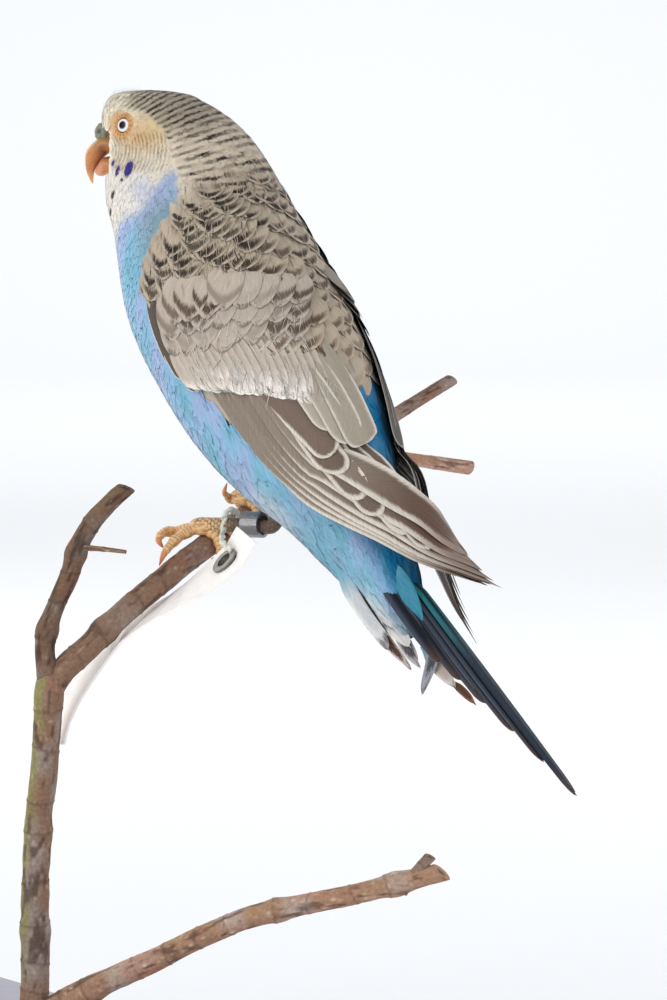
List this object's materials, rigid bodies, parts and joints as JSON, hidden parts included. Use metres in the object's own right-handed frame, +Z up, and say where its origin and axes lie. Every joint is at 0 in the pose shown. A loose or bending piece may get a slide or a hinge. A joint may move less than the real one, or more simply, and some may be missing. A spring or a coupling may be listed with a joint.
{
  "type": "mounted budgerigar on a branch",
  "caption": "Life-size mounted budgerigar gripping a forked branch on a slab base, with a leg ring and a hanging blank label.",
  "frame": {"origin": "centre of the slab base's underside, where the mount stands", "axes": "+Z up; +X to the right and +Y away as seen from the front, so the bird's back and tail are toward -Y and its head is toward -X"},
  "size_m": [0.213, 0.203, 0.2071],
  "materials": {
    "barred_plumage": "matte",
    "blue_plumage": "matte",
    "wing_feather": "matte",
    "tail_feather": "satin",
    "bill_horn": "satin",
    "cere_skin": "satin",
    "eye_glass": "polished",
    "foot_skin": "matte",
    "claw_horn": "satin",
    "bark": "matte",
    "band_metal": "satin",
    "eyelet_metal": "satin",
    "label_paper": "matte",
    "string_cotton": "matte",
    "base_paint": "satin"
  },
  "bodies": {
    "root": {"bill_lower": "bill_horn", "bill_upper": "bill_horn", "branch_left": "bark", "branch_low": "bark", "branch_perch": "bark", "branch_stem": "bark", "branch_stub": "bark", "branch_twig_far": "bark", "branch_twig_thin": "bark", "cere": "cere_skin", "claw_left_front_inner": "claw_horn", "claw_left_front_outer": "claw_horn", "claw_left_rear_inner": "claw_horn", "claw_left_rear_outer": "claw_horn", "claw_right_front_inner": "claw_horn", "claw_right_front_outer": "claw_horn", "claw_right_rear_inner": "claw_horn", "claw_right_rear_outer": "claw_horn", "eye_left": "eye_glass", "eye_right": "eye_glass", "foot_left": "foot_skin", "foot_right": "foot_skin", "head": "barred_plumage", "label": "label_paper", "label_eyelet": "eyelet_metal", "label_string": "string_cotton", "leg_band": "band_metal", "leg_left": "foot_skin", "leg_right": "foot_skin", "neck": "barred_plumage", "rump": "blue_plumage", "stand_base": "base_paint", "tail": "tail_feather", "torso": "blue_plumage", "wing_left": "wing_feather", "wing_right": "wing_feather"}
  },
  "joints": []
}
